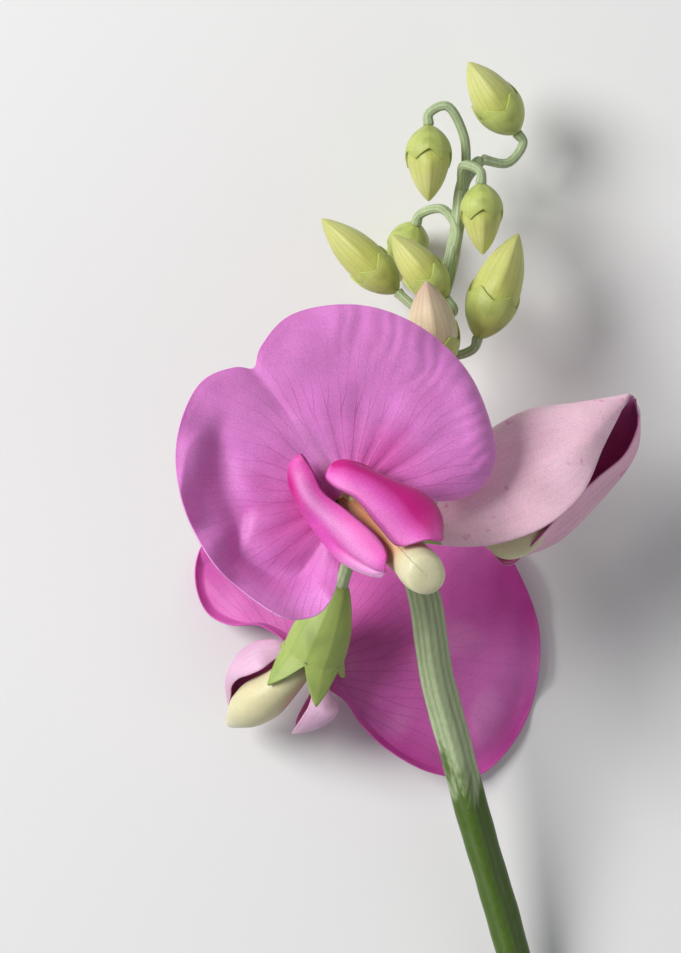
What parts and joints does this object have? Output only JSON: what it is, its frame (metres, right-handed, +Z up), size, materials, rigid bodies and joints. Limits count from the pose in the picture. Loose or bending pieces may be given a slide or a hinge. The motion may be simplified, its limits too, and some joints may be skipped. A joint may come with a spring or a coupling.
{
  "type": "sweet pea flower",
  "caption": "Picked stalk of perennial sweet pea lying down: pink pea flowers with standard, wings and keel, and green buds on a ridged stem.",
  "frame": {"origin": "on the surface it lies on, under the middle of its bounding box", "axes": "+Z up from the surface, +Y along the stalk from its cut end to its buds, +X toward the half-open side flower"},
  "size_m": [0.0418, 0.1002, 0.0334],
  "materials": {
    "stem": "waxy green skin with a grey bloom",
    "calyx": "soft matt yellow-green sepals",
    "standard": "silky lilac-pink petal with darker veins",
    "wing": "silky magenta-pink petal",
    "keel": "translucent cream petal",
    "stamens": "pale yellow filaments",
    "bud": "soft yellow-green folded petals"
  },
  "bodies": {
    "root": {"calyx_front": "calyx", "standard_front": "standard", "wing_a_front": "wing", "wing_b_front": "wing", "keel_front": "keel", "stamens_front": "stamens", "calyx_low": "calyx", "standard_low": "standard", "wing_a_low": "wing", "wing_b_low": "wing", "keel_low": "keel", "stamens_low": "stamens", "calyx_side": "calyx", "standard_side": "standard", "wing_a_side": "wing", "wing_b_side": "wing", "keel_side": "keel", "stamens_side": "stamens", "bud_calyx_1": "calyx", "bud_petals_1": "bud", "bud_calyx_2": "calyx", "bud_petals_2": "bud", "bud_calyx_3": "calyx", "bud_petals_3": "bud", "bud_calyx_4": "calyx", "bud_petals_4": "bud", "bud_calyx_5": "calyx", "bud_petals_5": "bud", "bud_calyx_6": "calyx", "bud_petals_6": "bud", "bud_calyx_7": "calyx", "bud_petals_7": "bud", "bud_calyx_8": "calyx", "bud_petals_8": "bud", "stem": "stem"}
  },
  "joints": []
}
